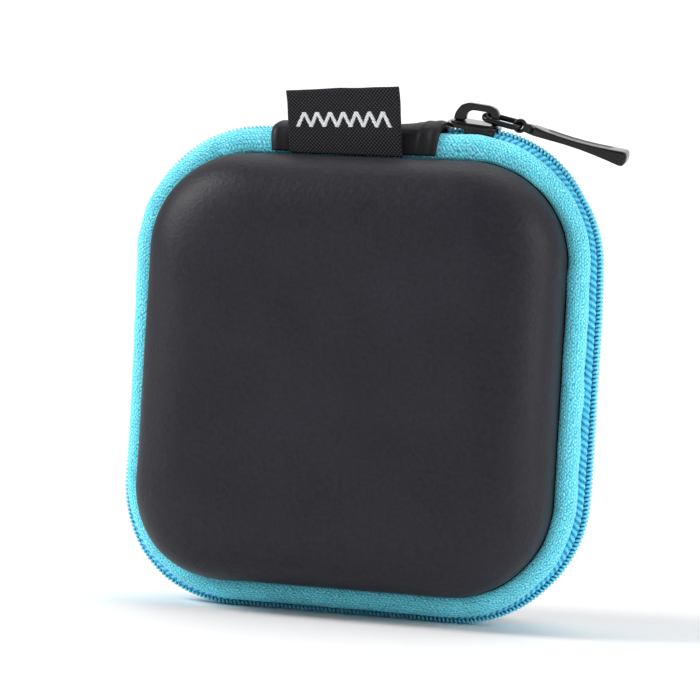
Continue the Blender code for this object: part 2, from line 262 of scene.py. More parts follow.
def leatherette(name, lightness=1.0):
    """Polyurethane leatherette: a fine pebbled grain, cloudy in colour and slightly uneven in gloss."""
    made = Surface(name, Roughness=0.5, Specular_IOR_Level=0.3)
    grain = {"Vector": made.place, "Scale": 1500.0, "Randomness": 0.85}
    pebble = made.node("TexVoronoi", grain, feature="SMOOTH_F1").outputs["Distance"]
    fine = made.noise(3600.0, 2.0)
    cloud = made.noise(60.0, 4.0, 0.6)
    mixed = made.plus(made.times(cloud, 0.45), made.times(made.noise(1300.0, 1.0), 0.55))
    dark = tuple(x * lightness for x in (0.0068, 0.0064, 0.0108))
    light = tuple(x * lightness for x in (0.0150, 0.0142, 0.0215))
    made.coloured(mixed, (0.32, dark), (0.68, light))
    gloss = made.plus(cloud, made.times(fine, 0.4))
    made.link(made.mapped(gloss, 0.45, 0.95, 0.44, 0.62), "Roughness")
    return made.bumped(made.plus(pebble, made.times(fine, 0.5)), 0.00007, 0.7)

def woven(name, valley_shade, crest, stitch_highlight, roughness=0.75):
    """Cloth whose relief is in its mesh: valleys darkened with painted shade, crests, and a painted highlight
    on the highest stitches, with fine fibres.
    """
    made = Surface(name, Roughness=roughness, Sheen_Weight=0.25, Specular_IOR_Level=0.35)
    fibre = made.minus(made.noise(5200.0, 2.0), 0.5)
    height = made.plus(made.relief(), made.times(fibre, 0.5))
    # The relief's colours: painted shade in the valleys, the crests' own colour, a painted highlight on the
    # highest stitches.
    colour = made.ramp(height, (0.05, valley_shade), (0.38, crest), (0.85, stitch_highlight))
    shade = made.mapped(made.noise(260.0, 3.0), 0.3, 0.7, 0.9, 1.06)
    shaded = made.node("VectorMath", {0: colour, "Scale": shade}, operation="SCALE")
    made.link(shaded.outputs[0], "Base Color")
    return made.bumped(height, 0.00008, 0.6)

def coil_nylon():
    """The zipper's coil: satin nylon, painted paler on the loops' outer crest as a highlight and darker
    further in as painted shade.
    """
    made = Surface("coil_nylon", Roughness=0.34, Coat_Weight=0.15, Specular_IOR_Level=0.5)
    cloud = made.times(made.minus(made.noise(900.0), 0.5), 0.35)
    # Dark blue is painted shade further in, pale cyan a painted highlight on the outer crest.
    made.coloured(made.plus(made.relief(), cloud), (0.1, (0.02, 0.32, 0.58)), (0.85, (0.13, 0.70, 0.90)))
    return made.bumped(made.noise(2600.0, 2.0), 0.00003, 0.4)

def twill(name, ground, thread, pitch):
    """Woven tape in twill: fine diagonal ribs broken into stitches. Its pattern map is in millimetres."""
    made = Surface(name, Roughness=0.85, Specular_IOR_Level=0.15)
    split = made.node("SeparateXYZ", {0: made.node("UVMap", uv_map="pattern").outputs["UV"]})
    u, v = split.outputs[0], split.outputs[1]
    wobble = made.times(made.minus(made.noise(700.0), 0.5), 0.16)
    along = made.plus(made.plus(u, v), wobble)
    across = made.minus(u, made.times(v, 0.9))
    ribs, steps = (made.sine(made.times(way, 2 * math.pi / pitch)) for way in (along, across))
    weave = made.times(made.plus(ribs, 1.0), made.plus(steps, 1.15))
    height = made.plus(made.times(weave, 0.25), made.times(made.noise(6000.0, 2.0), 0.25))
    made.coloured(height, (0.12, ground), (0.9, thread))
    return made.bumped(height, 0.00010, 0.7)

def knit_lining():
    """Brushed polyester knit: a dark nap with faint vertical wales."""
    made = Surface("lining_knit", Roughness=0.95, Sheen_Weight=0.35, Specular_IOR_Level=0.2)
    wales = made.node("TexWave", {"Vector": made.place, "Scale": 260.0, "Distortion": 2.0, "Detail": 2.0})
    height = made.plus(made.times(wales.outputs["Fac"], 0.35), made.noise(1800.0, 4.0, 0.7))
    made.coloured(height, (0.3, (0.006, 0.006, 0.007)), (0.95, (0.03, 0.03, 0.033)))
    return made.bumped(height, 0.00012, 0.6)

def foam():
    """Closed-cell foam seen at its cut rim."""
    made = Surface("eva_foam", Roughness=0.9, Specular_IOR_Level=0.25)
    cells = made.node("TexVoronoi", {"Vector": made.place, "Scale": 2400.0}, feature="F1").outputs["Distance"]
    made.coloured(cells, (0.1, (0.016, 0.016, 0.018)), (0.8, (0.035, 0.035, 0.038)))
    return made.bumped(cells, 0.00006, 0.6)

def gunmetal():
    """Black-nickel plated zinc: glossy, faintly rippled, rubbed paler in patches."""
    made = Surface("black_nickel", Specular_IOR_Level=0.27)
    rub = made.noise(420.0, 4.0, 0.6)
    fine = made.noise(2500.0, 3.0)
    made.coloured(rub, (0.35, (0.0035, 0.0035, 0.004)), (0.75, (0.012, 0.0115, 0.012)))
    gloss = made.plus(rub, made.times(fine, 0.3))
    made.link(made.mapped(gloss, 0.4, 0.9, 0.07, 0.2), "Roughness")
    return made.bumped(made.plus(rub, made.times(fine, 0.15)), 0.00004, 0.35)

def thread(name, colour):
    """Twisted sewing thread."""
    made = Surface(name, Roughness=0.6, Sheen_Weight=0.3, Specular_IOR_Level=0.4)
    ply = {"Vector": made.place, "Scale": 1400.0, "Distortion": 1.5}
    twist = made.node("TexWave", ply, bands_direction="DIAGONAL").outputs["Fac"]
    made.coloured(twist, (0.1, tuple(x * 0.62 for x in colour)), (0.7, colour))
    return made.bumped(twist, 0.00003, 0.6)

LEATHER = leatherette("leatherette")
COVER_LEATHER = leatherette("hinge_leatherette", 0.45)
# Binding and cord: the first colour is painted shade in the knit's valleys, the second the cloth's own colour,
# the third a painted highlight on its stitches.
BINDING = woven("binding_knit", (0.018, 0.29, 0.46), (0.10, 0.77, 0.95), (0.48, 0.99, 1.0))
CORD = woven("zipper_cord", (0.008, 0.22, 0.44), (0.045, 0.55, 0.86), (0.20, 0.78, 0.98), 0.65)
TAPE = twill("zipper_tape_twill", (0.012, 0.20, 0.38), (0.05, 0.45, 0.70), 0.6)
COIL = coil_nylon()
LABEL = twill("label_twill", (0.0012, 0.0012, 0.0018), (0.055, 0.055, 0.062), 0.6)
LINING = knit_lining()
FOAM = foam()
METAL = gunmetal()
NET = thread("net_yarn", (0.022, 0.022, 0.024))
ELASTIC = thread("elastic_yarn", (0.03, 0.03, 0.034))
SEWING = thread("sewing_thread", (0.06, 0.45, 0.66))
WHITE_THREAD = thread("white_thread", (0.90, 0.90, 0.92))

# ---------------------------------------------------------------- outlines

def rounded(inset, radius, per_corner, per_side):
    """The rounded square at an inset, clockwise from the top right corner, as (x, z) rows."""
    corners = []
    for quarter in range(4):
        across = (HALF_WIDTH - inset - radius) * (1 if quarter in (0, 1) else -1)
        up = (HALF_HEIGHT - inset - radius) * (1 if quarter in (0, 3) else -1)
        angle = np.radians(90 * (1 - quarter - np.arange(per_corner + 1) / per_corner))
        arc = [across + radius * np.cos(angle), HALF_HEIGHT + up + radius * np.sin(angle)]
        corners.append(np.stack(arc, 1))
    rows = []
    for quarter in range(4):
        start, end = corners[quarter][-1], corners[(quarter + 1) % 4][0]
        t = (np.arange(1, per_side) / per_side)[:, None]
        rows += [corners[quarter], start + (end - start) * t]
    return np.concatenate(rows)

TOP_HALF = HALF_WIDTH - CORNER_RADIUS
SIDE_LENGTH = 2 * (HALF_HEIGHT - CORNER_RADIUS)
ARC = CORNER_RADIUS * math.pi / 2
PERIMETER = 4 * TOP_HALF + 2 * SIDE_LENGTH + 4 * ARC

def route(s):
    """The crest at distances s, clockwise from the middle of the top: (x, z) points and outward normals."""
    s = np.asarray(s, float) % PERIMETER
    x, z, nx, nz = (np.zeros_like(s) for _ in range(4))
    start = 0.0
    for kind, length, quarter in (
        ("top", TOP_HALF, 0), ("arc", ARC, 0), ("right", SIDE_LENGTH, 0), ("arc", ARC, 1),
        ("bottom", 2 * TOP_HALF, 0), ("arc", ARC, 2), ("left", SIDE_LENGTH, 0), ("arc", ARC, 3),
        ("top_left", TOP_HALF, 0),
    ):  # fmt: skip
        here = (s >= start - 1e-12) & (s <= start + length + 1e-12)
        t = s[here] - start
        if kind == "arc":
            angle = math.pi / 2 * (1 - quarter) - t / CORNER_RADIUS
            across = TOP_HALF * (1 if quarter in (0, 1) else -1)
            up = HALF_HEIGHT + SIDE_LENGTH / 2 * (1 if quarter in (0, 3) else -1)
            nx[here], nz[here] = np.cos(angle), np.sin(angle)
            x[here], z[here] = across + CORNER_RADIUS * nx[here], up + CORNER_RADIUS * nz[here]
        elif kind in ("top", "top_left"):
            x[here], z[here] = (t if kind == "top" else t - TOP_HALF), 2 * HALF_HEIGHT
            nx[here], nz[here] = 0, 1
        elif kind == "bottom":
            x[here], z[here], nx[here], nz[here] = TOP_HALF - t, 0, 0, -1
        elif kind == "right":
            x[here], z[here], nx[here], nz[here] = HALF_WIDTH, HALF_HEIGHT + SIDE_LENGTH / 2 - t, 1, 0
        else:
            x[here], z[here], nx[here], nz[here] = -HALF_WIDTH, HALF_HEIGHT - SIDE_LENGTH / 2 + t, -1, 0
        start += length
    return np.stack([x, z], -1), np.stack([nx, nz], -1)

# Distances round the route and how far the soft zipper and binding stand out there, both in millimetres. The
# slider lifts the zipper, the right side bulges, two corners are drawn in and the foot is pressed flat.
ZIPPER_BULGE = (
    [0, 12, 15, 24, 31, 40, 52, 60, 88, 96, 108, 118, 135, 160, 168, 176, 182, 190, 197, 205, 287],
    [-0.2, 0.3, 0.62, 0.62, 0.36, -0.22, 0.2, 0.46, 0.42, 0.2, -0.25, -0.2, -0.42, -0.42, -0.1, 0.45, 0.5,
     0.05, -0.35, -0.4, -0.25],
)  # fmt: skip
BINDING_BULGE = (
    [0, 19, 25, 31, 42, 55, 90, 108, 125, 162, 172, 180, 188, 198, 215, 235, 242, 252, 264, 287],
    [0.36, 0.3, -0.05, -0.35, -0.55, -0.4, -0.4, -0.5, -0.35, -0.4, -0.4, -0.3, -0.4, -0.35, -0.15, 0.2, 0.1,
     -0.35, 0.1, 0.36],
)  # fmt: skip

def bulge(s, depth):
    """How far the soft edge stands out beyond its nominal route, at distances s clockwise from the top."""
    s = (np.asarray(s, float) % PERIMETER) / MM
    zipper = np.interp(s, *ZIPPER_BULGE)
    binding = np.interp(s, *BINDING_BULGE)
    share = smoothstep(np.abs(depth), 1.9 * MM, 3.2 * MM)
    return (zipper * (1 - share) + binding * share) * MM

def along_route(s, inset, depth, side):
    """Points at arrays of distance, inset and depth. The bulge fades out inwards, towards the stiff shell."""
    place, out = route(s)
    inset = inset - bulge(s, depth) * (1 - smoothstep(inset, 2.0 * MM, 4.5 * MM))
    x = CASE_X + place[..., 0] - out[..., 0] * inset
    z = place[..., 1] - out[..., 1] * inset
    return np.stack([x, side * depth * np.ones_like(x), z], -1)

ZIP_START = HINGE_RIGHT + 0.3 * MM
ZIP_END = PERIMETER + HINGE_LEFT - 0.3 * MM

# ---------------------------------------------------------------- shells

def crown(steps):
    """The shell's outer profile, from its wall to its flat middle: inset, depth and the normal."""
    angle = np.linspace(0, math.pi / 2, steps + 1)
    power = 2 / CROWN_POWER
    across, up = np.clip(np.cos(angle), 0, 1) ** power, np.sin(angle) ** power
    rise = CROWN_DEPTH - WALL_DEPTH
    inset = WALL_INSET + CROWN_RUN * (1 - across)
    depth = WALL_DEPTH + rise * up
    slope = np.stack([across ** (CROWN_POWER - 1) / CROWN_RUN, up ** (CROWN_POWER - 1) / rise], 1)
    slope /= np.linalg.norm(slope, axis=1)[:, None]
    return inset, depth, slope

def shell_rings(below, side, steps, per_corner, per_side, middle_rings, ripple=0.0):
    """Rings from the rim to the middle, a distance below the outer surface."""
    rings = []
    inset, depth, slope = crown(steps)
    for i, d, n in zip(inset, depth, slope):
        radius = CORNER_RADIUS - WALL_INSET - CROWN_CORNER_SHARE * (i - WALL_INSET) - below * n[0]
        flat = rounded(i + below * n[0], radius, per_corner, per_side)
        rings.append(np.stack([flat[:, 0], np.full(len(flat), d - below * n[1]), flat[:, 1]], 1))
    last = rings[-1]
    centre = np.array([0, last[0, 1], HALF_HEIGHT])
    for step in range(1, middle_rings + 1):
        share = 1 - step / (middle_rings + 0.35)
        rings.append(centre + (last - centre) * np.array([share, 1, share]))
    rings = np.array(rings)
    if ripple:
        rise = smoothstep(rings[..., 1], WALL_DEPTH, CROWN_DEPTH)
        rings[..., 1] += ripple * rise * waves(rings[..., 0], rings[..., 2], 5, 0.030)
        rings[..., 1] += 0.35 * ripple * rise * waves(rings[..., 0], rings[..., 2], 6, 0.011)
    rings[..., 0] += CASE_X
    rings[..., 1] *= side
    return rings

def rim_rings(corners, side, per_corner, per_side):
    rings = []
    for inset, depth in corners:
        flat = rounded(inset, CORNER_RADIUS - inset, per_corner, per_side)
        rings.append(np.stack([CASE_X + flat[:, 0], np.full(len(flat), side * depth), flat[:, 1]], 1))
    return np.array(rings)

def sag(z):
    """How much lower the shells stand than their nominal outline: more towards the top."""
    return 0.014 * np.maximum(z - HALF_HEIGHT, 0)

FULL_CORNER = 0.65 * MM  # the lower left corner is pressed a little fuller than the others

def shell_layer(name, material, layer, rim, side, detail, ripple=0.0):
    """One layer of a half: from the outer middle, round the rim, to the inner middle. layer has the depths of
    its outer and inner face below the shell's surface, rim the corners between them, and detail the counts."""
    steps, per_corner, per_side, middle = detail
    outer = shell_rings(layer[0], side, steps, per_corner, per_side, middle, ripple)
    inner = shell_rings(layer[1], side, steps, per_corner, per_side, middle, ripple)
    rings = np.concatenate([outer[::-1], rim_rings(rim, side, per_corner, per_side), inner])
    rings[..., 2] -= sag(rings[..., 2])
    corner = smoothstep(CASE_X - rings[..., 0], 0.35 * HALF_WIDTH, 0.8 * HALF_WIDTH)
    corner = corner * smoothstep(HALF_HEIGHT - rings[..., 2], 0.35 * HALF_HEIGHT, 0.8 * HALF_HEIGHT)
    corner = corner * smoothstep(np.abs(rings[..., 1]), 4.7 * MM, 6.3 * MM)  # the rim stays
    rings[..., 0] -= FULL_CORNER * corner
    rings[..., 2] -= FULL_CORNER * corner
    return grid(name, rings, material, caps=True)

def soften(made, width, segments=3, angle=35):
    """Rounds an object's edges with a bevel and keeps its broad faces flat."""
    modifier = made.modifiers.new("edges", "BEVEL")
    modifier.width = width
    modifier.segments = segments
    modifier.limit_method = "ANGLE"
    modifier.angle_limit = math.radians(angle)
    modifier.harden_normals = True
    return made

for half, (side, body) in SIDES.items():
    skin = shell_layer(
        f"{half}_skin_leatherette", LEATHER, (0, 0.6 * MM),
        [(4.8 * MM, 5.6 * MM), (4.8 * MM, SKIN_RIM_DEPTH), (5.4 * MM, SKIN_RIM_DEPTH)], side,
        (26, 28, 22, 16), 0.05 * MM,
    )  # fmt: skip
    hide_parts(f"{half}_skin")
    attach(skin, body)

    foam_out, foam_in = 5.7 * MM, 7.3 * MM
    foam_rim = [
        (foam_out, 4.6 * MM), (foam_out, 4.5 * MM), (2.45 * MM, 4.5 * MM), (2.35 * MM, 4.3 * MM),
        (2.35 * MM, 3.2 * MM), (2.45 * MM, 3.0 * MM), (foam_out, 3.0 * MM), (foam_out, RIM_DEPTH),
        (foam_in, RIM_DEPTH),
    ]  # fmt: skip
    shell = shell_layer(f"{half}_foam", FOAM, (0.9 * MM, 2.5 * MM), foam_rim, side, (10, 12, 6, 5))
    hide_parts(f"{half}_foam_shell")
    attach(shell, body)

    lining_rim = [(7.6 * MM, RIM_DEPTH), (7.7 * MM, 1.95 * MM), (8.0 * MM, 1.95 * MM), (8.1 * MM, RIM_DEPTH)]
    lining_layer = (2.8 * MM, 3.3 * MM)
    cloth = shell_layer(f"{half}_lining_cloth", LINING, lining_layer, lining_rim, side, (16, 16, 10, 8))
    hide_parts(f"{half}_lining")
    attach(cloth, body)

# ---------------------------------------------------------------- bindings

STATIONS = 1360
# Where the binding is pulled in by its seam: distance round the route, depth and width, in millimetres
PINCHES = ((-27.0, 0.42, 1.3), (-71.0, 0.22, 1.6), (-92.0, 0.25, 1.4), (-58.0, 0.18, 1.8), (62.0, 0.16, 1.8))

def knit(u, v, seed):
    """The relief of a coarse knit, 0 in its valleys to 1 on its stitches, metres along and across."""
    u, v = u / MM, v / MM
    u = u + 0.13 * waves(u, v, seed, 1.6) + 0.06 * waves(u, v, seed + 1, 0.8)
    v = v + 0.09 * waves(u, v, seed + 2, 1.4)
    column = v / 0.50
    share = column - np.floor(column)
    odd = np.floor(column) % 2
    lean = (share - 0.5) * np.where(odd > 0, 0.8, -0.8)
    stitch = 0.5 + 0.5 * np.cos(2 * np.pi * (u / 0.66 + lean + 0.5 * odd))
    wale = np.sin(np.pi * share)
    relief = 0.18 + 0.82 * wale * stitch**1.4
    return np.clip(relief + 0.20 * waves(u, v, seed + 3, 0.5), 0, 1)

# The binding's section as (inset, depth) in millimetres
BINDING_ROLL = [
    (4.68, 4.86), (4.62, 5.12), (4.25, 5.41), (3.60, 5.56), (2.90, 5.58), (2.20, 5.40), (1.55, 5.02),
    (1.08, 4.45), (0.86, 3.80), (0.90, 3.10), (1.22, 2.52), (1.80, 2.12), (2.60, 1.96), (3.60, 2.02),
    (4.42, 2.20),
]  # fmt: skip
BINDING_SLOT = [(4.42, 2.72), (2.1, 2.72), (1.82, 3.2), (1.82, 4.3), (2.1, 4.78), (4.40, 4.78)]
ROLL_COLUMNS = 62

def make_binding(half, side, body):
    """The rolled binding: a roll from the shell's side round to the zipper's, then the slot for the rim."""
    section = np.concatenate([smooth_path(BINDING_ROLL, ROLL_COLUMNS), np.array(BINDING_SLOT)]) * MM
    s = np.linspace(0, PERIMETER, STATIONS, endpoint=False)
    grid_s = columned(s, len(section))
    grid_v = stacked(distances(section), STATIONS)
    seed = 11 if side < 0 else 31
    relief = knit(grid_s, grid_v, seed)
    rolled = np.zeros(len(section))
    rolled[1 : ROLL_COLUMNS - 1] = 1.0
    out = section - np.array([BINDING_INSET, BINDING_DEPTH])
    out = out / np.linalg.norm(out, axis=1)[:, None]
    swell = 0.10 * MM * (relief - 0.45)
    swell += 0.07 * MM * waves(grid_s / MM, grid_v / MM * 0.5, seed + 7, 9.0)
    inner = stacked(smoothstep(section[:, 0], 0.9 * MM, 3.4 * MM), STATIONS)
    for place, deep, width in PINCHES:
        gap = (grid_s - place * MM + PERIMETER / 2) % PERIMETER - PERIMETER / 2
        swell -= deep * MM * np.exp(-((gap / (width * MM)) ** 2)) * inner * (0.75 if side > 0 else 1.0)
    ring = section[None] + out[None] * (swell * rolled)[..., None]
    points = along_route(grid_s, ring[..., 0], ring[..., 1], side)
    lip = smoothstep(ring[..., 0], 2.8 * MM, 4.4 * MM)  # the inner lip follows the shell
    points[..., 2] -= 0.85 * sag(points[..., 2]) * lip
    # The relief also colours the knit: painted shade in its valleys, a painted highlight on its stitches.
    stitches = {"relief": relief * rolled}
    made = grid(f"{half}_binding_knit", points, BINDING, rows_join=True, attributes=stitches)
    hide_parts(f"{half}_binding")
    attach(made, body)

for half, (side, body) in SIDES.items():
    make_binding(half, side, body)

# ---------------------------------------------------------------- zipper

COIL_PITCH = 0.70 * MM
PARTING = 17.2 * MM  # how far along the route the slider's post stands, at rest

def tube(centres, normals, binormals, radii, sides):
    """Points round a path: a circle of the given radius in the plane of the two directions."""
    turn = circle(sides)
    ring = np.cos(turn)[None, :, None] * normals[:, None] + np.sin(turn)[None, :, None] * binormals[:, None]
    return centres[:, None] + ring * radii.reshape(-1, 1, 1)

def path_frames(centres):
    """A normal and binormal at each point of a path, from its tangent and the next bend."""
    tangent = tangents(centres)
    bend = np.gradient(tangent, axis=0)
    bend -= tangent * np.einsum("ij,ij->i", bend, tangent)[:, None]
    bend /= np.linalg.norm(bend, axis=1)[:, None] + 1e-12
    return bend, np.cross(tangent, bend)

def make_coil(half, side, body):
    """One row of the coil: a single nylon filament wound in flat loops whose heads meet the other row's."""
    per_turn, sides, radius = 12, 6, 0.24 * MM
    count = int((ZIP_END - ZIP_START) / COIL_PITCH) * per_turn
    t = np.arange(count + 1) / per_turn
    phase = 2 * np.pi * (t + (0.5 if side > 0 else 0.0))
    s = ZIP_START + t * COIL_PITCH
    parted = 0.5 * np.exp(-(((s - PARTING) / (4.2 * MM)) ** 4))
    inset = (0.34 - 0.44 * np.sin(phase)) * MM
    depth = (0.88 + parted - 0.64 * np.cos(phase) - 0.06 * np.cos(2 * phase)) * MM
    centres = along_route(s, inset, depth, side)
    points = tube(centres, *path_frames(centres), radius * (1 + 0.08 * np.cos(phase)), sides)
    # How far out each loop lies. It paints the loop paler there as a highlight and darker further in as
    # painted shade.
    relief = columned(smoothstep(0.7 - inset / MM, 0.0, 0.7), sides)
    made = grid(f"{half}_coil_filament", points, COIL, caps=True, attributes={"relief": relief})
    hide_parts(f"{half}_zipper_coil")
    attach(made, body)

def make_cord(half, side, body):
    """The corded edge along the outside of a row, where the coil is sewn to its tape: two plies twisted."""
    spacing, twist_pitch, sides = 0.15 * MM, 1.15 * MM, 20
    count = int((ZIP_END - ZIP_START) / spacing)
    s = np.linspace(ZIP_START, ZIP_END, count + 1)
    turn = circle(sides)[None]
    twist = (2 * np.pi * s / twist_pitch * side)[:, None]
    lobes = np.cos(turn * 2 - twist)
    strand = np.cos(turn * 9 + twist * 2.4)
    radius = (0.60 + 0.065 * lobes + 0.02 * strand) * MM
    inset = 1.20 * MM - radius * np.cos(turn)
    depth = 1.78 * MM + 0.92 * radius * np.sin(turn)
    points = along_route(columned(s, sides), inset, depth, side)
    jitter = 0.12 * waves(s[:, None] / MM, turn * 3, 70, 0.8)
    # The relief colours the cord: painted shade between its plies, a painted highlight on their tops.
    relief = np.clip(0.42 + 0.40 * lobes + 0.16 * strand + jitter, 0, 1)
    made = grid(f"{half}_zipper_cord", points, CORD, caps=True, attributes={"relief": relief})
    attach(made, body)

def strip_section(path, thickness):
    """A closed section round a path of (inset, depth) points, half the thickness to each side."""
    along = tangents(path)
    across = np.stack([-along[:, 1], along[:, 0]], 1) * thickness / 2
    return np.concatenate([path + across, (path - across)[::-1]])

def pattern_map(along, section, closing):
    """Pattern coordinates for a strip: distances along it and round its section, which closing completes."""
    around = distances(section)
    return np.stack(np.meshgrid(along, np.append(around, around[-1] + closing), indexing="ij"), -1)

TAPE_PATH = [(1.42, 0.42), (1.62, 1.2), (1.75, 1.62), (2.4, 1.66), (4.8, 1.55), (7.3, 1.5)]

def make_tape(half, side, body):
    """The woven tape: under the coil, then inwards to where it is sewn to the shell's rim."""
    section = strip_section(smooth_path(TAPE_PATH, 26) * MM, 0.30 * MM)
    s = np.linspace(ZIP_START, ZIP_END, 400)
    grid_s = columned(s, len(section))
    inset, depth = section[None, :, 0], section[None, :, 1]
    ripple = 0.05 * MM * waves(grid_s / MM, stacked(section[:, 0] / MM, len(s)), 90, 6.0)
    free = smoothstep(inset, 2.5 * MM, 4.5 * MM)
    points = along_route(grid_s, inset, depth + ripple * free, side)
    uv = pattern_map(s / MM, section / MM, 0.3)
    made = grid(f"{half}_tape_twill", points, TAPE, caps=True, uv=uv)
    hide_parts(f"{half}_zipper_tape")
    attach(made, body)

def capsules(centres, directions, ups, lengths, radius, flatten=0.7, around=8, along=6):
    """Many short rounded threads as one array of points and faces."""
    directions = directions / np.linalg.norm(directions, axis=1)[:, None]
    sideways = np.cross(directions, ups)
    sideways /= np.linalg.norm(sideways, axis=1)[:, None]
    ups = np.cross(sideways, directions)
    t = np.linspace(-1, 1, along)
    girth = np.sqrt(np.clip(1 - np.abs(t) ** 3.2, 0.02, 1))[:, None] * radius
    turn = circle(around)[None]
    points = (
        centres[:, None, None]
        + directions[:, None, None] * (t * 0.5)[None, :, None, None] * lengths.reshape(-1, 1, 1, 1)
        + sideways[:, None, None] * (girth * np.cos(turn))[None, :, :, None]
        + ups[:, None, None] * (girth * np.sin(turn) * flatten)[None, :, :, None]
    )
    starts = np.arange(len(centres)) * along * around
    faces = tube_faces(along, around, caps=True)[None] + starts[:, None, None]
    return points.reshape(-1, 3), faces.reshape(-1, 4)

def make_stitches(half, side, body):
    """The row of lock stitches that holds the tape's inner edge to the rim, seen when the case is open."""
    pitch, length, inset, depth = 2.6 * MM, 1.9 * MM, 6.1 * MM, 1.36 * MM
    s = np.arange(ZIP_START + 2 * MM, ZIP_END - 2 * MM, pitch)
    place = along_route(s, inset, depth, side)
    ahead = along_route(s + 0.2 * MM, inset, depth, side)
    ups = np.tile([0.0, -side, 0.0], (len(s), 1))
    points, faces = capsules(place, ahead - place, ups, np.full(len(s), length), 0.17 * MM)
    made = mesh_object(f"{half}_rim_stitches", points, faces, SEWING)
    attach(made, body)

for half, (side, body) in SIDES.items():
    make_coil(half, side, body)
    make_cord(half, side, body)
    make_tape(half, side, body)
    make_stitches(half, side, body)

# ---------------------------------------------------------------- hinge

COVER_PATH = [(4.6, 6.0), (3.0, 5.98), (1.3, 5.72), (0.15, 4.72), (-0.42, 3.2), (-0.52, 1.6), (-0.54, 0.0)]

# Creases near the ends of the cover: place, depth, width and slant, in millimetres
CREASES = (
    (9.3, 0.16, 0.42, 0.10), (10.5, -0.11, 0.38, 0.16), (8.1, 0.06, 0.6, 0.05), (-13.2, 0.06, 0.7, -0.08),
)  # fmt: skip

def both_sides(half_path):
    """A path from the rear edge to the middle, carried on to the front edge by its mirror image."""
    return np.concatenate([half_path, (half_path * [1, -1])[-2::-1]])

def make_cover():
    """The leatherette strip that wraps both bindings and carries the hinge. Its ends are turned under."""
    path = both_sides(smooth_path(COVER_PATH, 30) * MM)
    length = distances(path)
    share = length / length[-1]
    columns, thickness = 120, 0.36
    t = np.linspace(0, 1, columns)
    upness = np.sin(np.pi * share)  # 0 at the two long edges, 1 on top
    left = HINGE_LEFT - (0.35 + 0.5 * np.sin(2 * np.pi * np.clip(share, 0, 0.5)) - 0.54 * upness**3) * MM
    right = HINGE_RIGHT + (-0.65 + 0.75 * upness) * MM
    x = left[None] + (right - left)[None] * t[:, None]
    u, v = x / MM, stacked(length / MM, columns)
    tangent = tangents(path)
    out = np.stack([tangent[:, 1], -tangent[:, 0]], 1)
    if out[len(out) // 2, 0] > 0:
        out = -out
    lift = 0.05 * waves(u, v * 0.6, 41, 5.0)
    lift += (0.45 * np.exp(-(((u + 12.5) / 2.6) ** 2)) + 1.15 * smoothstep(u, 2.0, 12.0)) * upness[None] ** 2
    uneven = 0.35 + 0.65 * np.abs(np.sin(v * 0.75))
    for place, deep, width, slant in CREASES:
        lift -= deep * np.exp(-(((u - place - slant * (v - 9)) / width) ** 2)) * uneven
    edge = np.minimum(x - left[None], right[None] - x) / MM
    lift += 0.13 * np.exp(-(((edge - 1.0) / 0.55) ** 2)) - 0.30 * np.exp(-((edge / 0.35) ** 2))
    layers = []
    for offset in (lift + thickness / 2, np.full_like(lift, -thickness / 2)):
        inset, depth = (path[None, :, k] + out[None, :, k] * offset * MM for k in (0, 1))
        layers.append(np.stack([CASE_X + x, -depth, 2 * HALF_HEIGHT - inset], -1))
    sheet = np.concatenate([layers[0], layers[1][:, ::-1]], 1)
    made = grid("hinge_cover_wrap", sheet, COVER_LEATHER, caps=True)
    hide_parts("front_hinge_cover", "rear_hinge_cover")
    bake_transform(made)

LINING_PATH = [(7.2, 1.48), (4.6, 1.5), (2.2, 1.5), (0.6, 1.1), (0.05, 0.5), (0.0, 0.0)]

def make_hinge_lining():
    """The knit strip that closes the hinge on the inside, with slack in its arch for the lid to open."""
    section = strip_section(both_sides(smooth_path(LINING_PATH, 24) * MM), 0.32 * MM)
    x = np.linspace(HINGE_LEFT + 0.2 * MM, HINGE_RIGHT - 0.2 * MM, 70)
    grid_x = columned(x, len(section))
    depth = stacked(section[:, 1], len(x))
    wrinkle = 0.05 * MM * waves(grid_x / MM, depth / MM, 51, 4.0)
    points = np.stack([CASE_X + grid_x, -depth, 2 * HALF_HEIGHT - section[None, :, 0] - wrinkle], -1)
    made = grid("hinge_lining_strip", points, LINING, caps=True)
    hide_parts("front_hinge_lining", "rear_hinge_lining")
    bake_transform(made)

make_cover()
make_hinge_lining()

# ---------------------------------------------------------------- label

# In millimetres, x from the case's middle: the sewn edge and the fold, each at its left and right end
LABEL_FOOT = ((-12.35, 77.02), (6.85, 76.95))
LABEL_FOLD = ((-13.55, 87.35), (5.70, 88.60))
LABEL_HALF = 9.6
LABEL_HEIGHT = 10.9
LABEL_FRONT = -7.32  # the front leaf's middle, and the back leaf's
LABEL_BACK = -6.62

def label_curl(x, z):
    """How far the label's face stands towards the front, free of its foot."""
    curl = 0.10 * np.sin(2.4 * (x / LABEL_HALF)) + 0.16 * (z / 10.4) ** 2 * np.cos(1.9 * x / LABEL_HALF)
    return (curl + 0.05 * waves(x, z, 61, 7.0)) * smoothstep(z, 0, 3.5)

def label_place(x, y, z):
    """The label's own millimetres, from the middle of its foot, carried to where its four corners stand."""
    t, h = (x + LABEL_HALF) / (2 * LABEL_HALF), z / LABEL_HEIGHT
    foot = [(1 - t) * LABEL_FOOT[0][k] + t * LABEL_FOOT[1][k] for k in (0, 1)]
    fold = [(1 - t) * LABEL_FOLD[0][k] + t * LABEL_FOLD[1][k] for k in (0, 1)]
    across, up = (foot[k] * (1 - h) + fold[k] * h for k in (0, 1))
    return np.stack([across * MM + CASE_X, y * MM, up * MM], -1)

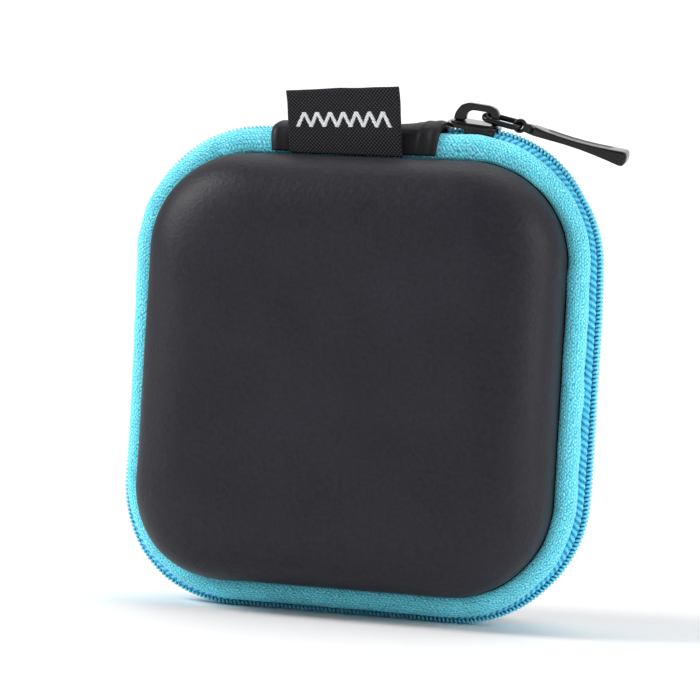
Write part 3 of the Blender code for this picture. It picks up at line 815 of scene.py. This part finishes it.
def make_label():
    """A twill tape folded double, its ends sewn in at the foot, with a plain white zigzag woven across it."""
    height, fold, thickness = LABEL_HEIGHT, 0.33, 0.26
    corners = [(LABEL_BACK, 0), (LABEL_BACK, height * 0.5), (-6.64, height - fold)]
    for a in np.radians([20, 55, 90, 125, 160]):
        corners.append((-6.97 + fold * math.cos(a), height - fold + fold * math.sin(a)))
    corners += [(-7.30, height - fold), (LABEL_FRONT, height * 0.5), (LABEL_FRONT, 0)]
    section = strip_section(smooth_path(corners, 78, 2), thickness)
    x = np.linspace(-LABEL_HALF, LABEL_HALF, 60)
    grid_x = columned(x, len(section))
    y, z = (stacked(section[:, k], len(x)) for k in (0, 1))
    near = smoothstep(-y, 6.6, 7.3)
    y = y - label_curl(grid_x, z) * (0.8 + 0.2 * near)
    z = z + 0.05 * waves(grid_x, y * 0, 63, 8.0) * smoothstep(z, 4, 9)
    grid_x = grid_x + 0.08 * waves(z, z * 0, 64, 5.0)
    uv = pattern_map(x, section, thickness)
    made = grid("label_tape", label_place(grid_x, y, z), LABEL, caps=True, uv=uv)
    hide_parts("label")
    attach(made, "lid")

    # The zigzag: short satin stitches side by side, each a little uneven
    draw = np.random.default_rng(17)
    peaks, pitch, low, high, row = 7, 2.25, 4.6, 7.0, 0.165
    centres, lengths = [], []
    for k in range(peaks * 2):
        left = -peaks * pitch / 2 + k * pitch / 2
        for z0 in np.arange(low, high, row):
            share = (z0 - low) / (high - low)
            share = share if k % 2 == 0 else 1 - share
            centres.append((left + share * pitch / 2 + draw.normal(0, 0.02), z0 + draw.normal(0, 0.012)))
            lengths.append(0.72 + draw.normal(0, 0.05))
    x, z = np.array(centres).T
    places = label_place(x, LABEL_FRONT - 0.15 - label_curl(x, z), z)
    directions = np.tile([1.0, 0.0, 0.0], (len(places), 1)) + draw.normal(0, 0.03, (len(places), 3))
    ups = np.tile([0.0, -1.0, 0.0], (len(places), 1))
    points, faces = capsules(places, directions, ups, np.array(lengths) * MM, 0.105 * MM, 0.75, 6, 5)
    motif = mesh_object("label_zigzag", points, faces, WHITE_THREAD)
    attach(motif, "lid")

make_label()

# ---------------------------------------------------------------- mesh pocket

POCKET_INSET = 8.4 * MM
POCKET_TOP = 50.0 * MM
POCKET_DEPTH = 3.4 * MM
POCKET_HALF = HALF_WIDTH - POCKET_INSET
CELL = 1.0 * MM  # the side of one hexagon of the net

def inside_pocket(x, z, margin):
    """How far a point lies inside the pocket's outline, less a margin. x is from the case's middle."""
    radius = CORNER_RADIUS - POCKET_INSET - margin
    dx = max(abs(x) - (POCKET_HALF - margin - radius), 0)
    dz = max(POCKET_INSET + margin + radius - z, 0)
    return min(radius - math.hypot(dx, dz), POCKET_TOP - margin - z)

def make_net():
    """The open hexagonal net, of solid yarn, sagging a little into the lid."""
    rows, columns = 30, 40
    points, faces = {}, []
    for row in range(rows):
        for column in range(-columns // 2, columns // 2 + 1):
            x = (column + 0.5 * (row % 2)) * CELL * math.sqrt(3)
            z = POCKET_INSET + 0.4 * MM + row * 1.5 * CELL
            if inside_pocket(x, z, 0.9 * MM) < 0:
                continue
            corner_ids = []
            for angle in (math.radians(60 * k + 30) for k in range(6)):
                px, pz = x + CELL * math.cos(angle), z + CELL * math.sin(angle)
                corner_ids.append(points.setdefault((round(px / MM, 2), round(pz / MM, 2)), len(points)))
            faces.append(corner_ids)
    mesh = bpy.data.meshes.new("pocket_net")
    mesh.from_pydata([(CASE_X + x * MM, 0.0, z * MM) for x, z in points], [], faces)
    net = linked("pocket_net", mesh)
    yarn = net.modifiers.new("yarn", "WIREFRAME")
    yarn.thickness = 0.34 * MM
    yarn.use_even_offset = False
    yarn.use_boundary = True
    bpy.context.view_layer.update()
    mesh = bpy.data.meshes.new_from_object(net.evaluated_get(bpy.context.evaluated_depsgraph_get()))
    net.modifiers.clear()
    net.data = mesh
    place = np.array([v.co for v in mesh.vertices])
    height = np.clip((place[:, 2] - POCKET_INSET) / (POCKET_TOP - POCKET_INSET), 0, 1)
    slack = 0.35 * MM * np.cos((place[:, 0] - CASE_X) / POCKET_HALF * 1.4) * np.sin(height * math.pi)
    place[:, 1] += -POCKET_DEPTH - slack
    mesh.vertices.foreach_set("co", place.astype(np.float32).ravel())
    mesh.materials.clear()
    mesh.materials.append(NET)
    mesh.shade_smooth()
    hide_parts("mesh_pocket")
    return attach(net, "lid")

def make_pocket_edge():
    """The flat cord that binds the net's edge, down one side, along the bottom and up the other."""
    inset = POCKET_INSET + 0.45 * MM
    outline = rounded(inset, CORNER_RADIUS - inset, 24, 30)
    keep = outline[outline[:, 1] < POCKET_TOP]
    start = int(np.argmax(np.linalg.norm(np.diff(keep, axis=0), axis=1))) + 1
    keep = np.concatenate([keep[start:], keep[:start]])
    centres = np.stack([CASE_X + keep[:, 0], np.full(len(keep), -POCKET_DEPTH), keep[:, 1]], 1)
    normal = np.tile([0.0, 1.0, 0.0], (len(centres), 1))
    binormal = np.cross(tangents(centres), normal)
    points = tube(centres, normal * 0.2, binormal * 0.75, np.full(len(centres), MM), 12)
    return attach(grid("pocket_edge", points, ELASTIC, caps=True), "lid")

def make_pocket_hem():
    """The ribbed elastic along the pocket's mouth, slightly gathered."""
    x = np.linspace(-POCKET_HALF, POCKET_HALF, 420)
    turn = circle(20)
    rib = 1 + 0.09 * np.cos(2 * np.pi * x / (0.8 * MM))[:, None]
    gather = 0.12 * MM * waves(x / MM, x * 0, 81, 6.0)[:, None]
    y = -POCKET_DEPTH + squared(np.cos(turn), 0.55) * 0.42 * MM * rib + gather
    z = 51.55 * MM + squared(np.sin(turn), 0.45) * 1.2 * MM * (1 + 0.02 * rib)
    points = np.stack([CASE_X + columned(x, len(turn)), y, z], -1)
    hem = grid("pocket_elastic_hem", points, ELASTIC, caps=True)
    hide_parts("pocket_elastic")
    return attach(hem, "lid")

def make_pocket():
    """The pocket in the lid: its net, the cord along its edge and its elastic hem."""
    net, edge, hem = make_net(), make_pocket_edge(), make_pocket_hem()

make_pocket()

# ---------------------------------------------------------------- slider, link and tab

SLIDER_PLACE = Vector((CASE_X + 17.8 * MM, 0, 82.9 * MM))
SLIDER_TILT = math.radians(7)  # down to the right, where the corner begins
SLIDER_LEAN = Matrix.Rotation(math.radians(13), 4, "X")  # the soft chain lets it lean forwards
SLIDER_TURN = Matrix.Translation(SLIDER_PLACE) @ Matrix.Rotation(SLIDER_TILT, 4, "Y") @ SLIDER_LEAN
LEANING = SLIDER_TURN @ Matrix.Rotation(-SLIDER_TILT, 4, "Y") @ Matrix.Translation(-SLIDER_PLACE)
LINK_AXIS = Vector(JOINTS["link_swing"]["pos_m"])
TAB_AXIS = Vector(JOINTS["tab_swing"]["pos_m"])

def solid(name, points, faces, material):
    """An object from a list of points and faces of any size."""
    mesh = bpy.data.meshes.new(name)
    mesh.from_pydata([tuple(p) for p in points], [], faces)
    mesh.validate()
    mesh.materials.append(material)
    return linked(name, mesh)

def scaled(pairs):
    return [(a * MM, b * MM) for a, b in pairs]

def extruded(outline, low, high, axis="z"):
    """An outline extruded between two heights: (x, y) points along z, or (x, z) points along y."""
    n = len(outline)
    levels = [(a, b, level) for level in (low, high) for a, b in outline]
    points = levels if axis == "z" else [(a, level, b) for a, b, level in levels]
    faces = [tuple(range(n))[::-1], tuple(range(n, 2 * n))]
    faces += [(k, (k + 1) % n, n + (k + 1) % n, n + k) for k in range(n)]
    if axis != "z":
        faces = [face[::-1] for face in faces]
    return points, faces

def plate_outline(half_length, half_width, count=64):
    """A rounded plate, slightly narrower towards +X."""
    angle = circle(count)
    across, along = squared(np.cos(angle), 0.55), squared(np.sin(angle), 0.7)
    return np.stack([half_length * across, half_width * along * (1 - 0.12 * across)], 1)

def rounded_polygon(corners, radius, steps=5):
    """A polygon with its corners rounded off."""
    points = []
    count = len(corners)
    for k in range(count):
        before, here, after = (Vector(corners[(k + d) % count]) for d in (-1, 0, 1))
        one, two = before - here, after - here
        cut = min(radius, one.length * 0.45, two.length * 0.45)
        start, end = here + one.normalized() * cut, here + two.normalized() * cut
        for step in range(steps + 1):
            t = step / steps
            points.append(tuple((1 - t) ** 2 * start + 2 * t * (1 - t) * here + t * t * end))
    return points

def finish_metal(made, body, edge=0.14 * MM, segments=3, angle=30):
    """Bevels, shades and rides a metal piece."""
    made.data.shade_smooth()
    made.data.set_sharp_from_angle(angle=math.radians(40))
    soften(made, edge, segments, angle)
    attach(made, body)
    return made

def placed(made, matrix):
    made.data.transform(matrix)
    return made

def join_parts(name, parts, material):
    """One object from several (points, faces) shells."""
    points, faces = [], []
    for some_points, some_faces in parts:
        base = len(points)
        points += some_points
        faces += [tuple(base + k for k in face) for face in some_faces]
    return solid(name, points, faces, material)

def make_slider():
    """The slider: an upper plate with a raised step and two flanges, a post, a lower plate and the arch."""
    half_length, half_width, back = 4.5 * MM, 3.4 * MM, 0.4 * MM
    outline = plate_outline(half_length, half_width)
    base, step = (outline * size - [back, 0] for size in ([1, 1], [0.88, 0.82]))
    parts = [extruded(base, 0.0, 0.70 * MM), extruded(step, 0.68 * MM, 1.0 * MM)]
    for way in (-1, 1):
        flange = rounded_polygon(scaled([(-1.7, 0.3), (3.7, 0.3), (3.5, -1.3), (-1.1, -1.5)]), 0.55 * MM)
        low, high = sorted((way * 2.38 * MM, way * 3.02 * MM))
        parts.append(extruded(flange, low, high, "y"))
    post = rounded_polygon(scaled([(-1.5, 0.2), (1.5, 0.2), (1.5, -4.2), (-1.5, -4.2)]), 0.2 * MM)
    parts.append(extruded(post, -0.2 * MM, 0.2 * MM, "y"))
    inner = plate_outline(half_length, half_width, 32) * [0.67, 0.3]
    parts.append(extruded(inner, -4.6 * MM, -3.9 * MM))
    body = placed(join_parts("slider_plates", parts, METAL), SLIDER_TURN)
    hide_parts("slider_body")
    finish_metal(body, "slider", 0.13 * MM)

    outer = [
        (-4.05, 1.0), (-3.8, 2.35), (-3.05, 3.6), (-1.7, 4.14), (2.0, 4.12), (3.15, 3.65), (3.7, 2.7),
        (3.7, 1.0), (2.3, 1.0), (2.35, 2.4), (1.75, 2.98), (-1.0, 2.98), (-1.8, 2.45), (-2.0, 1.0),
    ]  # fmt: skip
    arch = rounded_polygon(scaled(outer), 0.5 * MM, 4)
    bridge = placed(solid("slider_arch", *extruded(arch, -0.7 * MM, 0.7 * MM, "y"), METAL), SLIDER_TURN)
    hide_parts("slider_bridge")
    finish_metal(bridge, "slider", 0.2 * MM, 4, 45)

def make_link():
    """The oval wire link, turned a little out of square by the tab's weight."""
    length, half_width, wire = 6.2 * MM, 1.35 * MM, 0.46 * MM
    bends = []
    for x, start in ((length - half_width, -90), (half_width, 90)):
        angle = np.radians(start + 180 * np.arange(25) / 24)
        out = np.stack([np.cos(angle), np.sin(angle), angle * 0], 1)
        bends.append((np.array([x, 0, 0]) + out * half_width, out))
    centres, out = (np.concatenate([bend[k] for bend in bends]) for k in (0, 1))
    turn = circle(20)
    ring = squared(np.cos(turn), 0.8)[None, :, None] * out[:, None]
    ring = ring + squared(np.sin(turn), 0.8)[None, :, None] * np.array([0.0, 0.0, 1.0])
    made = grid("pull_link_ring", centres[:, None] + ring * wire, METAL, rows_join=True)
    twist = Matrix.Rotation(math.radians(13), 4, "Y") @ Matrix.Rotation(math.radians(13), 4, "X")
    placed(made, LEANING @ Matrix.Translation(LINK_AXIS) @ twist)
    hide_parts("pull_link")
    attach(made, "pull_link")

# The tab's distance from its pivot, half width and half thickness, in millimetres
TAB_SECTIONS = [
    (0.9, 0.66, 0.72), (1.9, 0.70, 0.80), (2.7, 1.42, 0.78), (4.2, 1.98, 0.68), (6.2, 2.06, 0.60),
    (8.5, 2.10, 0.55), (11.0, 2.13, 0.60), (13.4, 2.17, 0.76), (16.0, 2.24, 1.02), (17.6, 2.29, 1.22),
    (18.2, 2.26, 1.24), (18.5, 2.14, 1.10), (18.7, 1.86, 0.78), (18.8, 1.40, 0.36),
]  # fmt: skip
EYE_PROFILE = [
    (0.60, -0.44), (0.74, -0.56), (1.02, -0.60), (1.16, -0.48), (1.20, -0.25), (1.20, 0.25),
    (1.16, 0.48), (1.02, 0.60), (0.74, 0.56), (0.60, 0.44), (0.56, 0.18), (0.56, -0.18),
]  # fmt: skip

def make_tab():
    """The blade, waisted behind its eye and thickening to a flared tip, and the eye."""
    sections = np.array(TAB_SECTIONS)
    along = np.unique(np.concatenate([np.linspace(0.9, 18.8, 90), sections[:, 0]]))
    width, thick = (np.interp(along, sections[:, 0], sections[:, k]) for k in (1, 2))
    kernel = np.array([1, 2, 3, 2, 1]) / 9
    for values in (width, thick):
        padded = np.concatenate([[values[0]] * 2, values, [values[-1]] * 2])
        values[1:-1] = np.convolve(padded, kernel, "valid")[1:-1]
    turn = circle(48, 0.5)
    y = squared(np.cos(turn), 0.22)[None] * width[:, None]
    z = squared(np.sin(turn), 0.22)[None] * thick[:, None]
    panel = smoothstep(along, 4.4, 5.2) * (1 - smoothstep(along, 15.4, 16.2))
    inner = 1 - smoothstep(np.abs(y), width[:, None] * 0.62, width[:, None] * 0.76)
    z = z - (z > 0) * 0.16 * panel[:, None] * inner
    points = np.stack([columned(along, len(turn)), y, z], -1) * MM
    blade = grid("pull_tab_blade", points, METAL, caps=True)
    turn_tab = LEANING @ Matrix.Translation(TAB_AXIS) @ Matrix.Rotation(math.radians(15), 4, "Y")
    placed(blade, turn_tab)
    blade.data.set_sharp_from_angle(angle=math.radians(50))
    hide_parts("pull_tab")
    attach(blade, "pull_tab")

    # The eye: a rounded barrel with a hole for the link
    rings = [[(r * math.cos(a), w, r * math.sin(a)) for r, w in EYE_PROFILE] for a in circle(48)]
    eye = placed(grid("pull_tab_eye", np.array(rings) * MM, METAL, rows_join=True), turn_tab)
    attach(eye, "pull_tab")

make_slider()
make_link()
make_tab()

# ---------------------------------------------------------------- camera, floor and light

YAW, PITCH, ROLL = (math.radians(x) for x in (13.41, 0.27, 3.38))
DISTANCE = 0.3968
TARGET = Vector((CASE_X, 0, HALF_HEIGHT))

def make_camera():
    """A long lens a little to the right of the case's front, at half its height."""
    back = Vector((math.sin(YAW) * math.cos(PITCH), -math.cos(YAW) * math.cos(PITCH), math.sin(PITCH)))
    level_right = Vector((math.cos(YAW), math.sin(YAW), 0))
    level_up = back.cross(level_right)
    right = math.cos(ROLL) * level_right + math.sin(ROLL) * level_up
    up = math.cos(ROLL) * level_up - math.sin(ROLL) * level_right
    lens = bpy.data.cameras.new("camera")
    lens.sensor_width = 36.0
    lens.lens = 120.49
    lens.shift_x = -0.0126
    lens.shift_y = 0.031
    lens.clip_start = 0.01
    lens.clip_end = 20
    camera = linked("camera", lens)
    turn = Matrix((right, up, back)).transposed().to_4x4()
    camera.matrix_world = Matrix.Translation(TARGET + back * DISTANCE) @ turn
    bpy.context.scene.camera = camera

def sweep_floor():
    """A plain paper sweep: flat under the case, curving up far behind it."""
    profile = [(-1.6, 0.0), (-0.4, 0.0), (0.5, 0.0), (1.1, 0.0)]
    angles = np.radians(np.linspace(6, 90, 16))
    bend = [(1.1 + 0.6 * math.sin(a), 0.6 - 0.6 * math.cos(a)) for a in angles]
    profile += bend + [(1.7, 2.4)]
    points, faces = [], []
    for y, z in profile:
        points += [(-2.2, y, z), (2.2, y, z)]
    for k in range(len(profile) - 1):
        faces.append((2 * k, 2 * k + 1, 2 * k + 3, 2 * k + 2))
    paper = Surface("paper", Base_Color=(0.93, 0.93, 0.935, 1.0), Roughness=0.9, Specular_IOR_Level=0.2)
    made = solid("paper_sweep", points, faces, paper.material)
    made.data.shade_smooth()

def area_light(name, place, target, size, power):
    """A soft rectangular light at a place, facing a target."""
    data = bpy.data.lights.new(name, "AREA")
    data.shape = "RECTANGLE"
    data.size, data.size_y = size
    data.energy = power
    made = linked(name, data)
    made.location = place
    made.rotation_mode = "QUATERNION"
    made.rotation_quaternion = (Vector(target) - Vector(place)).to_track_quat("-Z", "Y")

make_camera()
sweep_floor()
area_light("key", (-0.82, -0.36, 0.64), TARGET, (0.45, 0.45), 10.5)
area_light("top", (0.05, 0.20, 1.0), TARGET, (0.9, 0.5), 3.0)
area_light("right", (0.80, -0.20, 0.35), TARGET, (0.6, 0.7), 4.5)
area_light("front_strip", (0.42, -0.85, 0.42), TARGET, (0.10, 0.30), 0.5)
area_light("backdrop", (0, 0.85, 1.2), (0, 1.6, 0.35), (2.2, 0.5), 15.0)

world = bpy.data.worlds.new("studio")
bpy.context.scene.world = world
world.use_nodes = True
air = world.node_tree.nodes["Background"]
air.inputs["Color"].default_value = (0.93, 0.96, 1.0, 1.0)
air.inputs["Strength"].default_value = 0.23

bpy.context.scene.view_settings.view_transform = "Standard"
